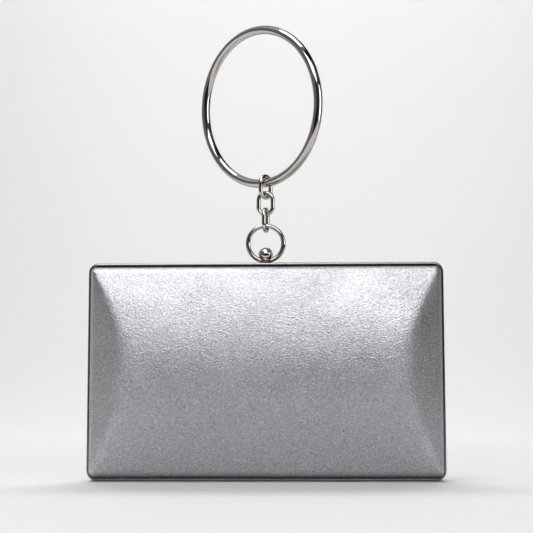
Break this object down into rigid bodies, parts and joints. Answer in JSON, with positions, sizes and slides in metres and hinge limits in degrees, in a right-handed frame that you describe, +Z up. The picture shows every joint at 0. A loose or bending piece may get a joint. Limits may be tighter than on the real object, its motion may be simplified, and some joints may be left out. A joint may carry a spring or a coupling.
{
  "type": "box clutch bag with a ring handle",
  "caption": "Box clutch bag: domed leather shells in a metal frame hinged along its base, with a ball clasp, a short chain and a ring handle.",
  "frame": {"origin": "inner face of the crown of the raised ring handle, where a hand, wrist or hook holds the bag", "axes": "+Z up, -Y out of the bag's front, +X to the right as seen from the front"},
  "size_m": [0.2, 0.063, 0.2583],
  "materials": {
    "leather": "metallic silver foil on fine-grained leather, semi-gloss",
    "frame_metal": "polished dark nickel plate",
    "handle_metal": "polished dark nickel plate"
  },
  "bodies": {
    "back_half": {"back_frame": "frame_metal", "back_shell": "leather", "hinge_pin": "frame_metal", "clasp_ball": "frame_metal", "clasp_ring": "handle_metal", "chain_link_1": "handle_metal", "chain_link_2": "handle_metal", "chain_link_3": "handle_metal", "ring_handle": "handle_metal"},
    "front_half": {"front_frame": "frame_metal", "front_shell": "leather"}
  },
  "joints": [
    {"name": "lid_hinge", "type": "hinge", "parent": "back_half", "child": "front_half", "pos_m": [0.00624, 0.00718, -0.25167], "axis": [1, 0, 0], "range_deg": [0, 80]}
  ]
}
